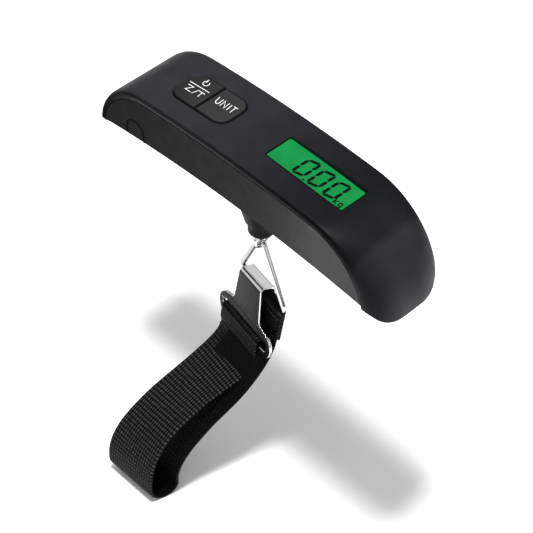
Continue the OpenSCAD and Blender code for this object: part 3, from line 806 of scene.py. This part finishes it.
def make_power_marks():
    """Power sign over a bar, and Z/T under it."""
    ring = arc((-31.6, 4.2), 1.2, 122, 418, 20)
    power = [ring, [(-32.0, 4.6), (-32.4, 6.2)], [(-36.6, 1.3), (-27.2, 1.5)]]
    z = [(-35.9, -0.1), (-33.3, -0.1), (-35.0, -2.6), (-32.4, -2.6)]
    slash = [(-31.6, -2.8), (-30.6, 0.1)]
    t = [[(-30.3, -0.1), (-27.6, -0.1)], [(-28.9, -0.1), (-28.6, -2.6)]]
    make_print("power_key_print", "power_key", power + [z, slash] + t)


def make_unit_marks():
    """The word UNIT."""
    top, low = 2.4, -0.7
    u = [(-22.79, top), (-22.26, low + 0.6), (-21.82, low + 0.1), (-21.2, low), (-20.76, low + 0.5),
         (-20.94, top)]
    n = [(-19.62, low), (-19.88, top), (-17.68, low), (-17.95, top)]
    i = [(-16.63, top), (-16.36, low)]
    t = [[(-15.66, top), (-13.9, top)], [(-14.78, top), (-14.6, low)]]
    make_print("unit_key_print", "unit_key", [u, n, i] + t)


# ---------------------------------------------------------------- the display

def panel_height(x):
    """Height of the panel's face."""
    return top_height(x) - PANEL_DEPTH


def make_panel():
    """Lit panel close under the window, a little larger than it."""
    middle, length, width, _ = WINDOW
    half_w = width / 2 + 0.3
    section = [(-half_w, -PANEL_T), (-half_w, 0.0), (half_w, 0.0), (half_w, -PANEL_T)]
    sections = []
    for i in range(PANEL_STEPS + 1):
        x = middle + (length + 0.6) * (i / PANEL_STEPS - 0.5)
        sections.append([Vector((x, y, panel_height(x) + rise)) for y, rise in section])
    panel = mesh_piece("display_panel", *lofted(sections), MATERIALS["display"])
    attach(panel, "casing")


def make_border():
    """Painted shade: a dark border on the panel where the window's walls shade it; it also masks the window's rim.
    """
    middle, length, width, r = WINDOW
    outer = rounded_outline(length + 0.4, width + 0.4, [r] * 4)
    inner = rounded_outline(length - 0.8, width - 0.8, [r] * 4)
    sections = []
    for (ox, oy), (ix, iy) in zip(outer + outer[:1], inner + inner[:1]):
        ring = ((ox, oy, 0.3), (ix, iy, 0.3), (ix, iy, 0.02), (ox, oy, 0.02))
        sections.append([Vector((middle + x, y, panel_height(middle + x) + rise)) for x, y, rise in ring])
    border = mesh_piece("display_border", *lofted(sections, capped=False), DISPLAY_INK_AND_SHADE)
    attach(border, "casing")


def digit_bar(corner, start, stop, width=DIGIT_BAR):
    """Six-sided bar between two points of a digit's cell, whose low left corner is given."""
    a, b = Vector(start), Vector(stop)
    d = (b - a).normalized()
    side = Vector((-d.y, d.x)) * width / 2
    a, b = a + d * 0.1, b - d * 0.1
    inner_a, inner_b = a + d * width / 2, b - d * width / 2
    shape = [a, inner_a + side, inner_b + side, b, inner_b - side, inner_a - side]
    flat = [(corner[0] + p.x + DIGIT_LEAN * p.y, corner[1] + p.y + DIGIT_RISE * p.x) for p in shape]
    return lofted([[Vector((x, y, panel_height(x) + rise)) for x, y in flat] for rise in (0.01, 0.06)])


def make_digits():
    """Three noughts with a point after the first, and a small unit mark."""
    w, h = DIGIT_W, DIGIT_H
    nought = [((0, 0), (w, 0)), ((0, h), (w, h)), ((0, 0), (0, h / 2)), ((0, h / 2), (0, h)),
              ((w, 0), (w, h / 2)), ((w, h / 2), (w, h))]
    corners = [(DIGIT_AT[0] + DIGIT_PITCH * i, DIGIT_AT[1]) for i in range(3)]
    bars = [digit_bar(corner, a, b) for corner in corners for a, b in nought]
    bars.append(digit_bar((24.8, -5.0), (0, -0.5), (0, 0.6), 1.0))
    k = [[(38.2, -2.6), (38.4, -5.2)], [(39.6, -3.3), (38.4, -4.2), (39.7, -5.1)]]
    g = [[(41.4, -3.3), (40.4, -3.4), (40.5, -4.8), (41.5, -4.7)], [(41.4, -3.3), (41.6, -5.5), (40.6, -5.6)]]

    def height_of(x):
        return panel_height(x) + 0.03

    lines = [stroke([Vector(p) for p in line], 0.42, height_of, 0.03) for line in k + g]
    digits = mesh_piece("display_digits", *joined(bars + lines), DISPLAY_INK_AND_SHADE)
    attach(digits, "casing")


def make_door_gap_shade():
    """Painted shadow round the battery door's thumb tab: a dark tube, as dark as the display's ink, standing for
    the shade in the door's gap.
    """
    reach = TAB_HALF_W + 0.1
    path = [Vector((TAB_X - reach, 2.9))]
    path += arc((TAB_X, TAB_TOP - TAB_HALF_W), reach, 180, 0, 20)
    path.append(Vector((TAB_X + reach, 2.7)))
    points, faces = tube([Vector((p.x, 0.15 - HALF_W, p.y)) for p in path], GAP_SHADE_R, Vector((0, 1, 0)), 8)
    seam = mesh_piece("door_gap_shade", points, faces, DISPLAY_INK_AND_SHADE)
    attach(seam, "casing")


# ---------------------------------------------------------------- link and buckle

def make_link():
    """Three-cornered wire link, with its apex in the stem's eye and its base in the webbing."""
    corners = [(-LINK_LEFT, BASE_Z), (LINK_RIGHT, BASE_Z), (APEX_HALF, PIVOT_Z), (-APEX_HALF, PIVOT_Z)]
    path = [hang(p.x, 0, p.y) for p in filleted(corners, (2.2, 2.2, 1.2, 1.2))]
    across = hang(0, 1, 0)
    link = mesh_piece("link_wire", *tube(path, WIRE_R, across, closed=True), MATERIALS["chrome"])
    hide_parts("wire_link")
    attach(link, "link")


def open_path(points, radii, step):
    """Path through the points whose inner corners are turned on arcs, with a point about every step."""
    inside = filleted(points, [0.001, *radii, 0.001])[FILLET_STEPS + 1:-FILLET_STEPS - 1]
    return resampled([Vector(points[0])] + inside + [Vector(points[-1])], step)


def buckle_rows():
    """(out, z, normal out, normal z, half width, half thickness) down the sheet from the hook's tip."""
    back, foot = -PLATE_OUT, BAR_Z - EAR_R
    corners = [(back - 0.6, -1.6), (back, HOOK_TOP - 1), (PLATE_OUT, HOOK_TOP), (PLATE_OUT, foot)]
    path = open_path(corners, (2.2, 1.2), 0.3)
    rows = []
    for i, p in enumerate(path):
        d = (path[min(i + 1, len(path) - 1)] - path[max(i - 1, 0)]).normalized()
        half_t = SHEET_T / 2 * (0.4 if i in (0, len(path) - 1) else 1.0)
        half_w = half_width(p.y) if p.x < 0 else HOOK_HALF
        rows.append((p.x, p.y, -d.y, d.x, half_w - (0.3 if i == 0 else 0), half_t))
    return rows


def half_width(z):
    """Half the plate's width: a little wider downward, then a fillet out to round ears about the slot."""
    if z > WAIST_Z:
        return HOOK_HALF + PLATE_FLARE * (HOOK_TOP - z)
    below = WAIST_Z - z
    if below < WAIST_R * 0.86:
        waist = HOOK_HALF + PLATE_FLARE * (HOOK_TOP - WAIST_Z)
        return waist + WAIST_R - math.sqrt(WAIST_R**2 - below**2)
    return EAR_X + math.sqrt(max(EAR_R**2 - (z - BAR_Z) ** 2, 0))


def make_buckle():
    """Bent sheet with softened edges, and a slot with round ends near its foot."""
    sections = []
    for out, z, nx, nz, half_w, half_t in buckle_rows():
        soft = min(0.38, half_t * 0.9)
        outline = rounded_outline(2 * half_w, 2 * half_t, [soft] * 4, 4)
        sections.append([buckle_point(x, out + nx * d, z + nz * d) for x, d in outline])
    buckle = mesh_piece("buckle_sheet", *lofted(sections), MATERIALS["buckle"])
    length, width = SLOT

    def outline_of(margin):
        return rounded_outline(length + 2 * margin, width + 2 * margin, [width / 2 + margin - 0.01] * 4, 8)

    def place(x, z, height):
        return buckle_point(x, PLATE_OUT - SHEET_T / 2 - height, BAR_Z + z)

    cut(buckle, lipped_cutter(outline_of, lambda x, z: 0.0, 0.3, 4.0, place))
    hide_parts("hook_buckle")
    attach(buckle, "buckle")


# ---------------------------------------------------------------- webbing

def webbing_section():
    """Outline of the webbing's cross section as (across, outward) points, its edges rounded."""
    half_w, half_t, edge = STRAP_W / 2, STRAP_T / 2, 0.5
    across = [half_w * (2 * i / 24 - 1) for i in range(1, 24)]
    rim = arc((0, 0), 1.0, 90, -90, 6)
    section = [(x, half_t) for x in across]
    section += [(half_w - edge + edge * q.x, half_t * q.y) for q in rim]
    section += [(x, -half_t) for x in reversed(across)]
    section += [(-half_w + edge - edge * q.x, -half_t * q.y) for q in rim]
    return section


def unturned(share):
    """Turn of webbing that lies square to the link."""
    return 0.0


def webbing(name, path, start_along, middle, twist=unturned, yaw=unturned):
    """Woven strap along a path of (out, z) points, and how far along the webbing it ends.

    At each share of its length, from 0 to 1, middle gives where its centre line lies along the link, twist
    its turn about the path and yaw its turn about the vertical.
    """
    path = resampled(path, 0.55)
    section = webbing_section()
    rings, uvs, along = [], [], start_along
    for i, p in enumerate(path):
        ahead, behind = path[min(i + 1, len(path) - 1)], path[max(i - 1, 0)]
        d = (ahead - behind).normalized()
        normal = Vector((-d.y, d.x))
        along += (p - path[i - 1]).length if i else 0.0
        share = i / (len(path) - 1)
        c, s = math.cos(twist(share)), math.sin(twist(share))
        aside, back = math.cos(yaw(share)), math.sin(yaw(share))
        ring = []
        for x, n in section:
            side, lift = x * c - n * s, x * s + n * c
            out = p.x + normal.x * lift + side * back
            ring.append(hang(middle(share) + side * aside, out, p.y + normal.y * lift))
            uvs.append((x, along))
        rings.append(ring)
    strap = mesh_piece(name, *lofted(rings), MATERIALS["webbing"], uvs, sharp=60)
    # Marks the outer side; the inner side gets painted shade in the weave's material.
    outer = strap.data.attributes.new("outer", "FLOAT", "POINT")
    for i, point in enumerate(outer.data):
        point.value = 1.0 if section[i % len(section)][1] >= 0 else 0.0
    return strap, along


def strap_path():
    """From the sewn tail round the link's base, down behind, round the bottom and up to the buckle."""
    back = TAIL_BACK * (STRAP_T / 2 + LAYER_GAP)
    ring = STRAP_T / 2 + WIRE_R + 0.05
    tail = [TAIL_TOP + back + TAIL_DOWN * TAIL_L, TAIL_TOP + back]
    turn = [Vector((p.x, BASE_Z + p.y)) for p in arc((0, 0), ring, -25, 195, 22)]
    start = TAIL_TOP - back + TAIL_DOWN * (TAIL_L + 0.5)
    low_back, low_front = LOOP_LOW + Vector((LOOP_R, 0)), LOOP_LOW - Vector((LOOP_R, 0))
    down = bezier(start, start + TAIL_DOWN * 24, (low_back.x, -107), low_back, 60)
    bottom = arc(LOOP_LOW, LOOP_R, 0, -180, 24)
    up = bezier(low_front, (low_front.x, -90), (-9.5, -93), LOOP_MEETS_FLAP, 60)
    return tail + turn + [TAIL_TOP - back] + down + bottom[1:] + up[1:]


def strap_middle(share):
    """The loop's two ends lie a little apart along the link."""
    return TAIL_ALONG + (FLAP_ALONG - TAIL_ALONG) * smoothstep(0.15, 0.95, share)


def strap_yaw(share):
    """The loop's lower part is turned a little from square to the link."""
    return 0.2 * (smoothstep(0.3, 0.45, share) - smoothstep(0.78, 0.96, share))


def strap_twist(share):
    """The worn loop rolls to one side: its back one way, its front the other."""
    back = smoothstep(0.3, 0.42, share) - smoothstep(0.46, 0.6, share)
    front = smoothstep(0.66, 0.8, share) - smoothstep(0.86, 0.99, share)
    return 0.16 * front - 0.2 * back


def make_strap():
    """The loop with its tail, and how far along the webbing it ends."""
    strap, along = webbing("strap_webbing", strap_path(), 0.0, strap_middle, strap_twist, strap_yaw)
    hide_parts("strap_loop", "strap_back_tab")
    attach(strap, "strap")
    return along


def flap_point(out, z):
    """Hanging-frame (out, z) of a point of the buckle's own frame."""
    p = lean(0, out, z)
    return Vector((p.y, p.z))


def make_front_flap(along):
    """Webbing folded over the buckle's bar: its cut end lies in front, sewn to the strap behind it."""
    bar_top = BAR_Z - SLOT[1] / 2
    fold = STRAP_T / 2 + SHEET_T / 2 + 0.05
    layer = STRAP_T / 2 + LAYER_GAP
    path = [flap_point(PLATE_OUT - layer, FLAP_END), flap_point(PLATE_OUT - layer, FLAP_END + 2.2)]
    path.append(flap_point(PLATE_OUT - fold, bar_top - 4))
    path += [flap_point(PLATE_OUT + p.x, bar_top + 1.0 + p.y) for p in arc((0, 0), fold, 180, 0, 16)]
    path += [flap_point(PLATE_OUT + fold, bar_top - 4), flap_point(PLATE_OUT + layer, FLAP_END + 2.2)]
    path.append(flap_point(PLATE_OUT + layer, FLAP_END))
    flap, _ = webbing("front_flap", path, along, lambda share: FLAP_ALONG)
    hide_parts("strap_front_tab")
    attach(flap, "buckle")


def stitches(name, body, node, rows, place):
    """Rows of lockstitch across the webbing: each row gives its out and z, and the side it faces."""
    length = STRAP_W - 3
    parts = []
    for out, z, face in rows:
        for i in range(STITCHES):
            x = length * (i / (STITCHES - 1) - 0.5)
            path = [place(x + STITCH_L * (t - 0.5), out + face * STITCH_RISE * math.sin(math.pi * t), z)
                    for t in (0, 0.25, 0.5, 0.75, 1)]
            parts.append(tube(path, THREAD_R, (place(0, 0, 1) - place(0, 0, 0)).normalized(), 8))
    seam = mesh_piece(name, *joined(parts), MATERIALS["thread"])
    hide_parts(node)
    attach(seam, body)


def make_back_seam():
    """Two rows of stitches through the tail, seen on both its sides."""
    back = TAIL_BACK * (STRAP_T + LAYER_GAP)
    rows = []
    for run in (2.0, TAIL_L - 1.5):
        p = TAIL_TOP + TAIL_DOWN * run
        rows += [(p.x + back.x, p.y + back.y, 1), (p.x - back.x, p.y - back.y, -1)]

    def place(x, out, z):
        return hang(x + TAIL_ALONG, out, z)

    stitches("back_seam", "strap", "back_stitching", rows, place)


def make_front_seam():
    """One row of stitches through the webbing's cut end below the buckle's bar."""
    def place(x, out, z):
        return buckle_point(x + FLAP_ALONG - BUCKLE_ALONG, out, z)

    rows = [(PLATE_OUT - STRAP_T - 0.05, FLAP_END + 1.2, -1)]
    stitches("front_seam", "buckle", "front_stitching", rows, place)


# ---------------------------------------------------------------- studio

def make_floor():
    """Plain pale sheet just under the lowest point of the object."""
    half = 3000.0
    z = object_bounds()[0].z / MM - 0.05
    corners = [(-half, -half, z), (half, -half, z), (half, half, z), (-half, half, z)]
    made, tree, shader = blank("floor_paper")
    tone = mixed(tree, between(tree, noise(tree, 8, 2), 0, 1), (0.90, 0.90, 0.90), (0.93, 0.93, 0.93))
    tree.links.new(tone, shader.inputs["Base Color"])
    shader.inputs["Roughness"].default_value = 0.9
    shader.inputs["Specular IOR Level"].default_value = 0.1
    floor = mesh_piece("floor", corners, [(0, 1, 2, 3)], made)


def area_light(name, direction, distance, size, power):
    """Square lamp facing the handle from a direction."""
    data = bpy.data.lights.new(name, "AREA")
    data.size = size
    data.energy = power
    lamp = bpy.data.objects.new(name, data)
    bpy.context.scene.collection.objects.link(lamp)
    away = Vector(direction).normalized()
    lamp.location = Vector((0, 0, -0.03)) + away * distance
    lamp.rotation_euler = away.to_track_quat("Z", "Y").to_euler()


def make_studio():
    """Pale dome with dark bands, so that polished metal shows its edges, and one soft lamp."""
    world = bpy.data.worlds.new("studio")
    bpy.context.scene.world = world
    world.use_nodes = True
    tree = world.node_tree
    back = tree.nodes["Background"]
    towards = add(tree, "ShaderNodeTexCoord").outputs["Generated"]
    up = add(tree, "ShaderNodeSeparateXYZ", {"Vector": towards}).outputs["Z"]
    ramp = add(tree, "ShaderNodeValToRGB", {"Fac": up})
    ramp.color_ramp.interpolation = "EASE"
    stops = ramp.color_ramp.elements
    stops[0].position = SKY[0][0]
    for height, _ in SKY[1:]:
        stops.new(height)
    for stop, (_, level) in zip(stops, SKY):
        stop.color = (level, level, level, 1)
    tree.links.new(ramp.outputs["Color"], back.inputs["Color"])
    back.inputs["Strength"].default_value = 0.8
    area_light("key", (0.043, -0.103, 1.0), 1.3, 0.2, 22.0)


def make_camera():
    """Camera above the display's end, looking down at a point below the handle."""
    azimuth, elevation, distance = math.radians(45.9), math.radians(46.36), 0.6189
    back = Vector((math.sin(azimuth) * math.cos(elevation), -math.cos(azimuth) * math.cos(elevation),
                   math.sin(elevation)))
    aim = Vector((15.7, -12.8, -19.2)) * MM
    data = bpy.data.cameras.new("camera")
    data.lens = 121.6
    data.sensor_width = 36.0
    camera = bpy.data.objects.new("camera", data)
    bpy.context.scene.collection.objects.link(camera)
    camera.location = aim + back * distance
    camera.rotation_euler = (-back).to_track_quat("-Z", "Y").to_euler()
    bpy.context.scene.camera = camera


bpy.context.scene.view_settings.view_transform = "Standard"
make_camera()
paint_frame()
make_cover()
make_key("power_key_cap", "power_button", "power_key", -1)
make_key("unit_key_cap", "unit_button", "unit_key", 1)
make_power_marks()
make_unit_marks()
make_panel()
make_border()
make_digits()
make_door_gap_shade()
make_link()
make_buckle()
strap_end = make_strap()
make_front_flap(strap_end)
make_back_seam()
make_front_seam()
make_floor()
make_studio()
